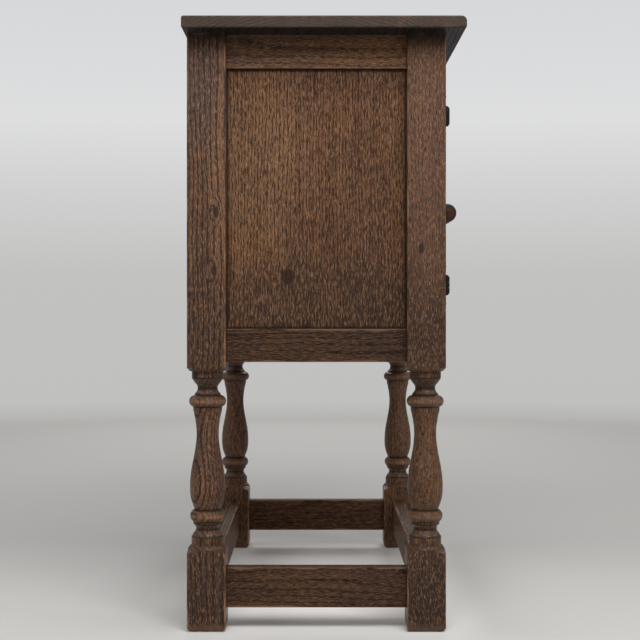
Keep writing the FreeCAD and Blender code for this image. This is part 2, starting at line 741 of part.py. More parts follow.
def make_cabinet():
    """Every node of the cabinet by name."""
    rails, mortises = make_rails()
    panels, grooves = make_panels()
    floor_board, floor_groove = make_floor_board()
    shelf_parts, sockets = make_shelf()
    buttons, button_screws, slots = make_buttons()
    case, magnets, catch_screws = make_catch()

    nodes = {}
    pins = []
    post_nails = []
    door_nails = {}
    for side, sign in (("left", -1), ("right", 1)):
        hinges, own_pins, door_nails[side], nails = make_hinges(sign, side)
        pins += own_pins
        post_nails += nails
        nodes.update(make_door(sign, side))
        nodes.update(hinges)
        stile = f"{side}_door_hinge_stile"
        nodes[stile] = nodes[stile].cut(door_nails[side])
        nodes[side + "_door_nails"] = Part.makeCompound(door_nails[side])

    blank = leg_blank()
    middle_x = half_width - post_size / 2
    for end, y in (("front", front + post_size / 2), ("back", back - post_size / 2)):
        for side, sign in (("left", -1), ("right", 1)):
            leg = blank.copy()
            leg.translate(V(sign * middle_x, y, 0))
            nodes[f"{end}_{side}_leg"] = cut_all(leg, mortises + grooves + sockets + post_nails)

    chamfers = chamfer_cutters()
    for name, board in rails.items():
        shape = cut_all(board, grooves + [floor_groove] + slots + catch_screws)
        nodes[name] = shape.cut(chamfers[name]) if name in chamfers else shape

    nodes.update(panels)
    nodes.update(shelf_parts)
    nodes["floor_board"] = floor_board
    nodes["top_board"] = make_top_board().cut(button_screws)
    nodes["top_buttons"] = Part.makeCompound(buttons)
    nodes["button_screws"] = Part.makeCompound(button_screws)
    nodes["hinge_pins"] = Part.makeCompound(pins)
    nodes["post_nails"] = Part.makeCompound(post_nails)
    nodes["catch_case"] = case
    nodes["catch_magnets"] = Part.makeCompound(magnets)
    nodes["catch_screws"] = Part.makeCompound(catch_screws)
    return nodes


os.makedirs("parts", exist_ok=True)
for name, shape in make_cabinet().items():
    shape.exportStep(f"parts/{name}.step")
    print(name, len(shape.Solids), round(shape.Volume))
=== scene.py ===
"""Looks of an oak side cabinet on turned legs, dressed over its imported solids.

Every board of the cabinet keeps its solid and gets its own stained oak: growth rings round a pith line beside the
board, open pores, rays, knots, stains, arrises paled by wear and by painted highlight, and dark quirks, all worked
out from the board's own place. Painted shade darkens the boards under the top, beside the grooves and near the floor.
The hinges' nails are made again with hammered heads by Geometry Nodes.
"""
import logging
import math
from dataclasses import dataclass
from enum import Enum
from typing import Any, Optional, Sequence, Union

import bpy
import bmesh
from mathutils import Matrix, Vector


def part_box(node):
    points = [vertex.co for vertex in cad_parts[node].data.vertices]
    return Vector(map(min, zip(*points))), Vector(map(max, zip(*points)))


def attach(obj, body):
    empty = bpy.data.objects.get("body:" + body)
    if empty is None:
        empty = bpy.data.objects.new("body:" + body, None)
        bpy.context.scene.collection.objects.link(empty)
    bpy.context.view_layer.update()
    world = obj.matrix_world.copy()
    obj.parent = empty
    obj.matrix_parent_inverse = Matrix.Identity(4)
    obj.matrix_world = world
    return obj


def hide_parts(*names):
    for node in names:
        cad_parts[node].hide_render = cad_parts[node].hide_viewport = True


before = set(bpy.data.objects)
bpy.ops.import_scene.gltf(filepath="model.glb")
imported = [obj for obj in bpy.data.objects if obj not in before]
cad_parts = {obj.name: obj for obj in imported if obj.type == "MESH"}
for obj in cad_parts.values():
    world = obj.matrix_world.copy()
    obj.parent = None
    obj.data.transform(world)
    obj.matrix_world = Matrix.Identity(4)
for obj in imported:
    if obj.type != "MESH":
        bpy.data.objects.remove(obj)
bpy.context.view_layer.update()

PHOTO_SIDE = 640.0

log = logging.getLogger("cabinet")

Colour = tuple[float, float, float]
Point = tuple[float, float, float]

# Dark colour for painted shade under the top board and beside the grooves, for the dark quirks and for darker end
# grain.
PAINTED_SHADE_AND_GRIME: Colour = (0.008, 0.005, 0.004)


# ---------------------------------------------------------------- node trees
class Value:
    """A socket of a node tree whose operators add Math nodes."""

    def __init__(self, tree: "NodeTree", socket: bpy.types.NodeSocket) -> None:
        """Keeps the socket and the tree it is in."""
        self.tree = tree
        self.socket = socket

    def __add__(self, other: "Number") -> "Value":
        """Sum."""
        return self.tree.math("ADD", self, other)

    __radd__ = __add__

    def __sub__(self, other: "Number") -> "Value":
        """Difference."""
        return self.tree.math("SUBTRACT", self, other)

    def __rsub__(self, other: "Number") -> "Value":
        """Difference, reflected."""
        return self.tree.math("SUBTRACT", other, self)

    def __mul__(self, other: "Number") -> "Value":
        """Product."""
        return self.tree.math("MULTIPLY", self, other)

    __rmul__ = __mul__

    def __truediv__(self, other: "Number") -> "Value":
        """Quotient."""
        return self.tree.math("DIVIDE", self, other)

    def __rtruediv__(self, other: "Number") -> "Value":
        """Quotient, reflected."""
        return self.tree.math("DIVIDE", other, self)

    def __abs__(self) -> "Value":
        """Absolute value."""
        return self.tree.math("ABSOLUTE", self)

    def least(self, other: "Number") -> "Value":
        """Smaller of the two."""
        return self.tree.math("MINIMUM", self, other)

    def most(self, other: "Number") -> "Value":
        """Larger of the two."""
        return self.tree.math("MAXIMUM", self, other)

    def fraction(self) -> "Value":
        """Part after the decimal point."""
        return self.tree.math("FRACT", self)

    def root(self) -> "Value":
        """Square root."""
        return self.tree.math("SQRT", self)

    def between(self, low: float, high: float, first: float = 0.0, last: float = 1.0) -> "Value":
        """Smooth step that goes from first to last as the value goes from low to high.

        Args:
            low: value at which the step starts.
            high: value at which the step ends.
            first: result at low.
            last: result at high.

        Returns:
            The stepped value.
        """
        settings = {"interpolation_type": "SMOOTHSTEP", "clamp": True}
        sockets = {"Value": self, "From Min": low, "From Max": high, "To Min": first, "To Max": last}
        return self.tree.value("ShaderNodeMapRange", settings, sockets, "Result")


Number = Union[Value, float]


class NodeTree:
    """A node tree that is filled through one method for every kind of node."""

    def __init__(self, tree: bpy.types.NodeTree) -> None:
        """Takes a tree and clears it.

        Args:
            tree: the tree of a material, world or modifier.
        """
        self.nodes = tree.nodes
        self.links = tree.links
        self.nodes.clear()

    def node(self, kind: str, settings: Optional[dict[str, Any]] = None,
             sockets: Optional[dict[Any, Any]] = None) -> bpy.types.Node:
        """Adds a node, sets it up and fills its sockets.

        Args:
            kind: the node's type.
            settings: the node's own settings; "stops" fills a colour ramp.
            sockets: numbers, colours or values by the socket's identifier, name or place.

        Returns:
            The new node.
        """
        made = self.nodes.new(kind)
        for name, setting in (settings or {}).items():
            if name == "stops":
                self.fill_ramp(made, setting)
            else:
                setattr(made, name, setting)
        for name, content in (sockets or {}).items():
            socket = self.find(made.inputs, name)
            if isinstance(content, Value):
                self.links.new(content.socket, socket)
            else:
                socket.default_value = content
        return made

    @staticmethod
    def fill_ramp(node: bpy.types.Node, stops: Sequence[tuple[float, Colour]]) -> None:
        """Sets a colour ramp's stops."""
        ramp = node.color_ramp
        while len(ramp.elements) < len(stops):
            ramp.elements.new(1.0)
        for element, (place, colour) in zip(ramp.elements, stops):
            element.position = place
            element.color = (*colour, 1.0)

    @staticmethod
    def find(sockets: Any, name: Any) -> bpy.types.NodeSocket:
        """Finds a socket by place, identifier or name."""
        if isinstance(name, int):
            return sockets[name]
        for socket in sockets:
            if socket.identifier == name:
                return socket
        return sockets[name]

    def value(self, kind: str, settings: Optional[dict[str, Any]], sockets: Optional[dict[Any, Any]],
              output: Any = 0) -> Value:
        """Adds a node and returns one of its outputs."""
        return Value(self, self.find(self.node(kind, settings, sockets).outputs, output))

    def math(self, operation: str, *values: Number) -> Value:
        """Adds a Math node."""
        return self.value("ShaderNodeMath", {"operation": operation}, dict(enumerate(values)))

    def vector(self, x: Number, y: Number, z: Number) -> Value:
        """Joins three numbers to a vector."""
        return self.value("ShaderNodeCombineXYZ", None, {"X": x, "Y": y, "Z": z})

    def noise(self, at: Value, scale: float = 1.0, detail: float = 2.0, roughness: float = 0.5,
              distortion: float = 0.0) -> Value:
        """Adds a noise texture and returns its factor."""
        sockets = {
            "Vector": at, "Scale": scale, "Detail": detail, "Roughness": roughness, "Distortion": distortion}
        return self.value("ShaderNodeTexNoise", None, sockets, "Fac")


class ShaderTree(NodeTree):
    """A material's tree."""

    def __init__(self, name: str) -> None:
        """Makes the material.

        Args:
            name: the material's name.
        """
        self.material = bpy.data.materials.new(name)
        self.material.use_nodes = True
        super().__init__(self.material.node_tree)

    def mix(self, factor: Number, first: Any, second: Any, blend: str = "MIX") -> Value:
        """Mixes two colours."""
        settings = {"data_type": "RGBA", "blend_type": blend}
        sockets = {"Factor_Float": factor, "A_Color": self.colour(first), "B_Color": self.colour(second)}
        return self.value("ShaderNodeMix", settings, sockets, "Result_Color")

    @staticmethod
    def colour(content: Any) -> Any:
        """Gives a plain colour its alpha."""
        return content if isinstance(content, Value) else (*content, 1.0)

    def object_axes(self) -> tuple[Value, Value, Value]:
        """Gives the three Object coordinates as numbers."""
        place = self.value("ShaderNodeTexCoord", None, None, "Object")
        split = self.node("ShaderNodeSeparateXYZ", None, {"Vector": place})
        return tuple(Value(self, split.outputs[i]) for i in range(3))

    def surface(self, sockets: dict[str, Any]) -> bpy.types.Material:
        """Closes the tree with a Principled shader.

        Args:
            sockets: what goes into the shader.

        Returns:
            The finished material.
        """
        shader = self.node("ShaderNodeBsdfPrincipled", None, sockets)
        output = self.node("ShaderNodeOutputMaterial")
        self.links.new(shader.outputs["BSDF"], output.inputs["Surface"])
        return self.material

    def bump(self, height: Value, strength: float, distance: float) -> Value:
        """Adds a Bump node."""
        sockets = {"Height": height, "Strength": strength, "Distance": distance}
        return self.value("ShaderNodeBump", None, sockets, "Normal")


class GeometryTree(NodeTree):
    """A Geometry Nodes tree with named inputs, whose result is turned into a plain mesh."""

    SOCKETS = {float: "NodeSocketFloat", int: "NodeSocketInt", bpy.types.Material: "NodeSocketMaterial"}

    def __init__(self, name: str, inputs: dict[str, Any]) -> None:
        """Makes the group and its inputs.

        Args:
            name: the group's name.
            inputs: each input's content by its name.
        """
        self.group = bpy.data.node_groups.new(name, "GeometryNodeTree")
        super().__init__(self.group)
        face = self.group.interface
        face.new_socket(name="Geometry", in_out="INPUT", socket_type="NodeSocketGeometry")
        self.settings = {}
        for label, content in inputs.items():
            made = face.new_socket(name=label, in_out="INPUT", socket_type=self.SOCKETS[type(content)])
            self.settings[made.identifier] = content
        face.new_socket(name="Geometry", in_out="OUTPUT", socket_type="NodeSocketGeometry")
        self.entry = self.node("NodeGroupInput")

    def given(self, name: str) -> Value:
        """Gives one of the group's inputs."""
        return Value(self, self.entry.outputs[name])

    def finish(self, shape: Value, material: str) -> None:
        """Closes the tree with real geometry in one material."""
        real = self.value("GeometryNodeRealizeInstances", None, {"Geometry": shape})
        sockets = {"Geometry": real, "Material": self.given(material)}
        dressed = self.value("GeometryNodeSetMaterial", None, sockets)
        self.node("NodeGroupOutput", None, {"Geometry": dressed})

    def run(self, name: str, points: Sequence[Vector]) -> bpy.types.Object:
        """Runs the tree on some points.

        Args:
            name: the new object's name.
            points: the places that the tree starts from.

        Returns:
            An object with the result as a plain mesh.
        """
        mesh = bpy.data.meshes.new(name)
        mesh.from_pydata(points, [], [])
        piece = bpy.data.objects.new(name, mesh)
        bpy.context.scene.collection.objects.link(piece)
        modifier = piece.modifiers.new(name, "NODES")
        modifier.node_group = self.group
        for identifier, content in self.settings.items():
            modifier[identifier] = content
        bpy.context.view_layer.update()
        graph = bpy.context.evaluated_depsgraph_get()
        result = bpy.data.meshes.new_from_object(piece.evaluated_get(graph), depsgraph=graph)
        piece.modifiers.remove(modifier)
        piece.data = result
        log.info("made %s: %d faces", name, len(result.polygons))
        return piece


# ---------------------------------------------------------------- finishes
class Grain(Enum):
    """The way a board's grain runs: its place among the object axes, across, through and along."""

    ALONG_X = (1, 2, 0)
    ALONG_Y = (0, 2, 1)
    ALONG_Z = (1, 0, 2)


@dataclass(frozen=True)
class Patch:
    """A soft-edged place on a board with its own colour.

    Attributes:
        centre: its middle, in metres.
        radii: its half sizes, in metres.
        colour: the colour it goes to.
        amount: how far it goes there.
    """

    centre: Point
    radii: Point
    colour: Colour
    amount: float


@dataclass(frozen=True)
class Shade:
    """A place where a board changes colour along one axis: painted shade under the top board, darker end grain or
    paler wear at a foot.

    Attributes:
        axis: 0, 1 or 2 for X, Y or Z.
        start: where it starts, in metres.
        full: where it is full, in metres.
        amount: how far it goes.
        colour: the colour it goes to.
    """

    axis: int
    start: float
    full: float
    amount: float
    colour: Colour = PAINTED_SHADE_AND_GRIME


@dataclass(frozen=True)
class Knot:
    """A small knot, round which the rings swell.

    Attributes:
        centre: its middle, in metres.
        radii: its half sizes, in metres.
        swell: how far it pushes the rings, in metres.
    """

    centre: Point
    radii: Point
    swell: float


@dataclass(frozen=True)
class Oak:
    """Stained and waxed oak.

    Attributes:
        pale, mid, deep: the stain over hard, plain and soft wood.
        pore: the wax and dirt in the open pores.
        bright: the flecks between them.
        plum, amber: the tints that the old stain has drifted to in places.
        worn: the pale colour on arrises and beads, for wear and painted highlight.
        painted_shade_and_grime: the dark colour of the painted shade beside the grooves and of the dark quirk lines.
        ring: width of a year's ring, in metres.
        roughness: how dull the wax is.
    """

    pale: Colour = (0.270, 0.128, 0.056)
    mid: Colour = (0.150, 0.068, 0.030)
    deep: Colour = (0.068, 0.028, 0.013)
    pore: Colour = (0.020, 0.009, 0.006)
    bright: Colour = (0.420, 0.225, 0.115)
    plum: Colour = (0.085, 0.040, 0.034)
    amber: Colour = (0.240, 0.100, 0.030)
    worn: Colour = (0.440, 0.240, 0.140)
    painted_shade_and_grime: Colour = PAINTED_SHADE_AND_GRIME
    ring: float = 0.0044
    roughness: float = 0.42


@dataclass(frozen=True)
class Cut:
    """How a board was cut from the log, what time did to it, and the shade and highlight painted on it.

    Attributes:
        grain: the way its grain runs.
        pith: where the log's middle lies from the board's middle, across and through, in metres.
        seed: shifts the pattern, so that no two boards match.
        tone: lightens or darkens the whole board.
        wear: width of the pale band along its arrises, in metres, which paints both wear and the highlight on the
            arris.
        worn: how pale that band is.
        knots: its knots.
        patches: its stained or faded places.
        figure: how strongly the rings show.
        flecks: how strongly its rays show as bright flecks.
        polish: how much smoother it is than plain boards.
        gloss: strength of its sheen, as the shader's specular level.
        hidden: depth of its edges in grooves, in metres, with a band of painted shade where they come out.
        shades: where it changes colour along an axis: painted shade under the top board, darker end grain or paler
            worn feet.
        quirks: heights of the dark lines round a turning, each with its half width, in metres.
        beads: heights of the beads round a turning, each with its half width, in metres, paled for wear and painted
            highlight.
    """

    grain: Grain
    pith: tuple[float, float]
    seed: float
    tone: float = 1.0
    wear: float = 0.0022
    worn: float = 0.55
    knots: tuple[Knot, ...] = ()
    patches: tuple[Patch, ...] = ()
    figure: float = 0.6
    flecks: float = 0.25
    polish: float = 0.0
    gloss: float = 0.16
    hidden: float = 0.0
    shades: tuple[Shade, ...] = ()
    quirks: tuple[tuple[float, float], ...] = ()
    beads: tuple[tuple[float, float], ...] = ()


class OakFinish:
    """Makes the oak of one board from its cut and its box."""

    PORES_PER_METRE = (1250.0, 1250.0, 120.0)
    FINE_PORES_PER_METRE = (2500.0, 2500.0, 250.0)
    FLECKS_PER_METRE = (620.0, 620.0, 200.0)
    STREAKS_PER_METRE = (120.0, 120.0, 5.0)
    CLOUDS_PER_METRE = (11.0, 11.0, 6.0)
    BENDS_PER_METRE = (9.0, 9.0, 2.6)
    RUBS_PER_METRE = (60.0, 60.0, 22.0)
    AXIS_SHIFT = 0.37
    BEND_DEPTH = 0.022
    KNOT_REACH = 2.4
    GROOVE_SHADOW = (0.0055, 0.0005)
    RUB_SPREAD = 0.010
    BUMP_STRENGTH = 0.55
    BUMP_DEPTH = 0.00030

    def __init__(self, oak: Oak) -> None:
        """Keeps the stain."""
        self.oak = oak

    @staticmethod
    def stretched(tree: ShaderTree, at: Sequence[Value], rates: Sequence[float], seed: float) -> Value:
        """Scales and shifts a place to the pattern's own space.

        Args:
            tree: the material's tree.
            at: the place across, through and along the grain.
            rates: pattern cells per metre along each.
            seed: shift of the pattern.

        Returns:
            The place in the pattern.
        """
        shifts = [seed * (1.0 + OakFinish.AXIS_SHIFT * i) for i in range(len(rates))]
        return tree.vector(*[axis * rate + shift for axis, rate, shift in zip(at, rates, shifts)])

    @staticmethod
    def nearness(tree: ShaderTree, place: Sequence[Value], centre: Point, radii: Point) -> Value:
        """Gives 1 at the centre of an ellipsoid and 0 outside it."""
        square = None
        for axis, middle, radius in zip(place, centre, radii):
            step = (axis - middle) / radius
            square = step * step if square is None else square + step * step
        return square.between(1.0, 0.0)

    def edge_distance(self, place: Sequence[Value], low: Vector, high: Vector) -> Value:
        """Distance from a box's nearest arris, for a point on its surface."""
        depths = []
        for i in range(3):
            middle = 0.5 * (low[i] + high[i])
            depths.append(0.5 * (high[i] - low[i]) - abs(place[i] - middle))
        smaller = depths[0].least(depths[1])
        larger = depths[0].most(depths[1])
        return smaller.most(larger.least(depths[2]))

    def rings(self, tree: ShaderTree, at: Sequence[Value], place: Sequence[Value], middle: Sequence[float],
              cut: Cut) -> Value:
        """Gives the place in the year's ring, from 0 at its soft start to 1."""
        bend = tree.noise(self.stretched(tree, at, self.BENDS_PER_METRE, cut.seed), detail=2.0) - 0.5
        across = at[0] - (middle[0] + cut.pith[0])
        through = at[1] - (middle[1] + cut.pith[1])
        radius = (across * across + through * through).root() + bend * self.BEND_DEPTH
        for knot in cut.knots:
            reach = [self.KNOT_REACH * r for r in knot.radii]
            radius = radius + self.nearness(tree, place, knot.centre, reach) * knot.swell
        return (radius / self.oak.ring).fraction()

    def make(self, name: str, cut: Cut) -> bpy.types.Material:
        """Makes the board's material.

        Args:
            name: the board's node.
            cut: how the board was cut.

        Returns:
            The material.
        """
        oak = self.oak
        tree = ShaderTree(f"oak_{name}")
        low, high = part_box(name)
        place = tree.object_axes()
        at = [place[i] for i in cut.grain.value]
        middle = [0.5 * (low[i] + high[i]) for i in cut.grain.value]
        ring = self.rings(tree, at, place, middle, cut)
        soft = ring.between(0.46, 0.10) * ring.between(0.0, 0.05) * cut.figure
        streak = tree.noise(self.stretched(tree, at, self.STREAKS_PER_METRE, cut.seed + 3.1), detail=3.0)
        cloud = tree.noise(self.stretched(tree, at, self.CLOUDS_PER_METRE, cut.seed + 7.7), detail=3.0)
        body = streak * 0.55 + cloud * 0.45 - soft * 0.13
        stops = [(0.30, oak.deep), (0.50, oak.mid), (0.70, oak.pale)]
        colour = tree.value("ShaderNodeValToRGB", {"stops": stops}, {"Fac": body}, "Color")
        drift = tree.noise(self.stretched(tree, at, self.CLOUDS_PER_METRE, cut.seed + 17.9), detail=3.0)
        colour = tree.mix(drift.between(0.52, 0.72) * 0.55, colour, oak.plum)
        colour = tree.mix(drift.between(0.46, 0.30) * 0.40, colour, oak.amber)
        for patch in cut.patches:
            near = self.nearness(tree, place, patch.centre, patch.radii)
            colour = tree.mix(near * patch.amount * (0.55 + 0.9 * streak), colour, patch.colour)
        pores = self.stretched(tree, at, self.PORES_PER_METRE, cut.seed + 1.3)
        pores = tree.noise(pores, detail=2.0, roughness=0.6)
        fine = tree.noise(self.stretched(tree, at, self.FINE_PORES_PER_METRE, cut.seed + 5.9), detail=1.0)
        rays = tree.noise(self.stretched(tree, at, self.FLECKS_PER_METRE, cut.seed + 6.6), detail=1.0)
        open_pore = (pores + soft * 0.16).between(0.51, 0.62)
        thin_pore = (fine + soft * 0.08).between(0.52, 0.64)
        colour = tree.mix(pores.between(0.46, 0.34) * 0.60, colour, oak.bright)
        colour = tree.mix(rays.between(0.58, 0.68) * cut.flecks, colour, oak.bright)
        filled = (open_pore * 0.88).most(thin_pore * 0.60)
        colour = tree.mix(filled, colour, oak.pore)
        for knot in cut.knots:
            near = self.nearness(tree, place, knot.centre, knot.radii)
            colour = tree.mix(near.between(0.0, 0.7) * 0.8, colour, oak.pore)
        edge = self.edge_distance(place, low, high)
        rubbing = tree.noise(self.stretched(tree, at, self.RUBS_PER_METRE, cut.seed + 9.2), detail=2.0)
        if cut.hidden:
            # Painted shade where the board comes out of its groove.
            line = (edge - cut.hidden).between(*self.GROOVE_SHADOW)
            colour = tree.mix(line * 0.75, colour, oak.painted_shade_and_grime)
            filled = filled.most(line)
        else:
            # Pale band along the arrises: wear and painted highlight.
            rubbed = (edge + (rubbing - 0.42) * self.RUB_SPREAD).between(cut.wear, cut.wear * 0.25)
            colour = tree.mix(rubbed * cut.worn, colour, oak.worn)
        # Pale band round the beads: wear and painted highlight.
        for height, half in cut.beads:
            near = (abs(place[2] - height)).between(half, 0.0)
            colour = tree.mix(near * rubbing * 0.5, colour, oak.worn)
        for height, half in cut.quirks:
            near = (abs(place[2] - height)).between(half, half * 0.2)
            colour = tree.mix(near * 0.80, colour, oak.painted_shade_and_grime)
        # Bands along an axis: painted shade under the top board, darker end grain, paler worn feet.
        for shade in cut.shades:
            near = place[shade.axis].between(shade.start, shade.full)
            colour = tree.mix(near * shade.amount * (0.6 + 0.8 * rubbing), colour, shade.colour)
        if cut.tone != 1.0:
            shade = (cut.tone,) * 3
            colour = tree.mix(1.0, colour, shade, "MULTIPLY")
        rough = oak.roughness - cut.polish + filled * 0.25 + (cloud - 0.5) * 0.16
        height = 0.0 - filled + fine * 0.25
        return tree.surface({
            "Base Color": colour,
            "Roughness": rough,
            "Specular IOR Level": cut.gloss,
            "Normal": tree.bump(height, self.BUMP_STRENGTH, self.BUMP_DEPTH),
        })


@dataclass(frozen=True)
class Metal:
    """Plain or blacked metal.

    Attributes:
        colour: its colour.
        rust: the colour of its worn or rusty places.
        rust_amount: how much of it they cover.
        metallic: how metallic it is.
        roughness: how dull it is.
        dents: depth of its hammer marks, in metres.
    """

    colour: Colour
    rust: Colour
    rust_amount: float
    metallic: float
    roughness: float
    dents: float

    def make(self, name: str) -> bpy.types.Material:
        """Makes the material.

        Args:
            name: the material's name.

        Returns:
            The material.
        """
        tree = ShaderTree(name)
        place = tree.object_axes()
        near = tree.vector(*place)
        cloud = tree.noise(near, scale=130.0, detail=4.0, roughness=0.65)
        fine = tree.noise(near, scale=900.0, detail=2.0)
        worn = cloud.between(0.56, 0.68) * self.rust_amount
        colour = tree.mix(worn, self.colour, self.rust)
        hammered = tree.noise(near, scale=210.0, detail=0.0)
        return tree.surface({
            "Base Color": colour,
            "Metallic": self.metallic * (1.0 - worn * 0.6),
            "Roughness": self.roughness + (cloud - 0.5) * 0.35 + worn * 0.15,
            "Normal": tree.bump(hammered + fine * 0.12, 0.8, self.dents),
        })


@dataclass(frozen=True)
class Moulding:
    """Moulded plastic or a pressed magnet.

    Attributes:
        colour: its colour.
        roughness: how dull it is.
    """

    colour: Colour
    roughness: float

    def make(self, name: str) -> bpy.types.Material:
        """Makes the material."""
        tree = ShaderTree(name)
        near = tree.vector(*tree.object_axes())
        dust = tree.noise(near, scale=260.0, detail=3.0)
        skin = tree.noise(near, scale=2400.0, detail=1.0)
        paler = tuple(min(1.0, 1.5 * c + 0.01) for c in self.colour)
        return tree.surface({
            "Base Color": tree.mix(dust.between(0.45, 0.75) * 0.5, self.colour, paler),
            "Roughness": self.roughness + (dust - 0.5) * 0.2,
            "Normal": tree.bump(skin, 0.3, 0.0001),
        })


# ---------------------------------------------------------------- parts of the cabinet
def dress(node: str, material: bpy.types.Material) -> None:
    """Gives every material slot of a CAD node its finish."""
    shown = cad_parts[node]
    for held in shown.material_slots:
        held.material = material
    if not shown.material_slots:
        shown.data.materials.append(material)
    log.info("dressed %s", node)


@dataclass
class Carcass:
    """Posts, rails, stretchers, panels and boards that don't move."""

    finish: OakFinish
    leg_low: float = 0.1120
    leg_high: float = 0.342
    bare: Colour = (0.280, 0.155, 0.085)

    def turned(self, share: float) -> float:
        """Height of a share of the turning."""
        return self.leg_low + share * (self.leg_high - self.leg_low)

    def quirks(self) -> tuple[tuple[float, float], ...]:
        """Heights of the quirks between the turning's beads and hollows."""
        shares = ((0.048, 0.0020), (0.091, 0.0030), (0.120, 0.0018), (0.134, 0.0014), (0.201, 0.0024),
                  (0.796, 0.0018), (0.864, 0.0026), (0.9035, 0.0040), (0.962, 0.0016))
        return tuple((self.turned(share), half) for share, half in shares)

    def beads(self) -> tuple[tuple[float, float], ...]:
        """Heights of the turning's two beads."""
        return tuple((self.turned(share), 0.004) for share in (0.165, 0.827))

    def dress_posts(self) -> None:
        """Dresses the four posts with their turned legs."""
        grey = (0.088, 0.050, 0.042)
        amber = (0.230, 0.115, 0.055)
        ruddy = (0.200, 0.098, 0.062)
        # Dark brown for painted shade low on the two near posts and at their feet, darker towards the floor.
        painted_shade_brown = (0.040, 0.018, 0.011)
        marks = {
            "back_left_leg": dict(
                pith=(-0.055, 0.055), seed=2.3, figure=1.3,
                patches=(
                    Patch((-0.300, 0.165, 0.400), (0.08, 0.06, 0.12), painted_shade_brown, 0.75),
                    Patch((-0.300, 0.165, 0.050), (0.08, 0.06, 0.10), painted_shade_brown, 0.85),
                    Patch((-0.327, 0.170, 0.720), (0.03, 0.030, 0.11), grey, 0.75),
                    Patch((-0.327, 0.148, 0.580), (0.03, 0.012, 0.20), amber, 0.65),
                ),
                knots=(
                    Knot((-0.327, 0.152, 0.552), (0.010, 0.0045, 0.010), 0.006),
                    Knot((-0.327, 0.155, 0.475), (0.010, 0.0045, 0.009), 0.005),
                )),
            "front_left_leg": dict(
                pith=(-0.200, 0.012), seed=8.1, figure=0.4, flecks=0.60, tone=0.80,
                patches=(
                    Patch((-0.300, -0.125, 0.400), (0.08, 0.06, 0.12), painted_shade_brown, 0.80),
                    Patch((-0.300, -0.125, 0.050), (0.08, 0.06, 0.10), painted_shade_brown, 0.95),
                    Patch((-0.327, -0.124, 0.600), (0.03, 0.030, 0.22), ruddy, 0.60),
                ),
                knots=(
                    Knot((-0.327, -0.118, 0.505), (0.010, 0.004, 0.009), 0.004),
                )),
            "back_right_leg": dict(pith=(0.034, 0.030), seed=14.9),
            "front_right_leg": dict(pith=(0.046, -0.020), seed=21.4),
        }
        for node, mark in marks.items():
            # Painted shade at the tops of the posts under the top board, and paler worn feet.
            shades = (Shade(2, 0.768, 0.789, 0.80), Shade(2, 0.014, 0.0, 0.32, self.bare))
            cut = Cut(Grain.ALONG_Z, polish=0.17, gloss=0.28, quirks=self.quirks(), beads=self.beads(),
                      shades=shades, **mark)
            dress(node, self.finish.make(node, cut))

    def dress_rails(self) -> None:
        """Dresses the rails and stretchers between the posts."""
        # Each board's grain, pith, seed and tone; the low tones of the side bottom rails and stretchers are painted
        # shade, darker towards the floor.
        rails = {
            "left_top_rail": (Grain.ALONG_Y, (0.05, 0.02), 31.0, 1.2),
            "right_top_rail": (Grain.ALONG_Y, (-0.04, 0.03), 33.7, 1.2),
            "left_bottom_rail": (Grain.ALONG_Y, (0.045, -0.03), 36.2, 0.46),
            "right_bottom_rail": (Grain.ALONG_Y, (-0.05, 0.01), 39.9, 0.46),
            "front_top_rail": (Grain.ALONG_X, (0.04, 0.03), 41.3, 0.85),
            "back_top_rail": (Grain.ALONG_X, (-0.05, 0.02), 44.8, 0.85),
            "front_bottom_rail": (Grain.ALONG_X, (0.05, -0.02), 47.5, 0.90),
            "back_bottom_rail": (Grain.ALONG_X, (-0.04, 0.03), 50.1, 0.90),
            "left_stretcher": (Grain.ALONG_Y, (0.05, 0.03), 52.6, 0.54),
            "right_stretcher": (Grain.ALONG_Y, (-0.04, 0.02), 55.2, 0.75),
            "front_stretcher": (Grain.ALONG_X, (0.05, 0.01), 58.4, 0.75),
            "back_stretcher": (Grain.ALONG_X, (-0.05, 0.03), 61.9, 0.75),
        }
        for node, (grain, pith, seed, tone) in rails.items():
            upper = "top" in node
            # Painted shade on the top rails under the overhang of the top board.
            shades = (Shade(2, 0.774, 0.789, 0.45),) if upper else ()
            cut = Cut(grain, pith, seed, tone=tone, gloss=0.32 if upper else 0.16, wear=0.0030,
                      worn=0.2 if upper else 0.8, shades=shades)
            dress(node, self.finish.make(node, cut))

    def dress_panels(self) -> None:
        """Dresses the side panels and the back panel."""
        warm = (0.245, 0.135, 0.070)
        # Dark brown for painted shade low on the left panel and on its right side.
        painted_shade_brown = (0.055, 0.030, 0.020)
        cuts = {
            "left_panel": Cut(
                Grain.ALONG_Z, (0.30, 0.04), 71.0, hidden=0.008, figure=0.7,
                patches=(
                    Patch((-0.307, 0.110, 0.62), (0.05, 0.10, 0.18), warm, 0.50),
                    Patch((-0.307, -0.060, 0.58), (0.05, 0.06, 0.30), painted_shade_brown, 0.40),
                    Patch((-0.307, 0.020, 0.40), (0.05, 0.24, 0.12), painted_shade_brown, 0.75),
                ),
                knots=(Knot((-0.307, 0.058, 0.468), (0.012, 0.012, 0.013), 0.006),)),
            "right_panel": Cut(Grain.ALONG_Z, (-0.03, -0.16), 76.3, hidden=0.008),
            "back_panel": Cut(Grain.ALONG_Z, (0.05, -0.20), 81.8, tone=0.9, hidden=0.008),
        }
        for node, cut in cuts.items():
            dress(node, self.finish.make(node, cut))

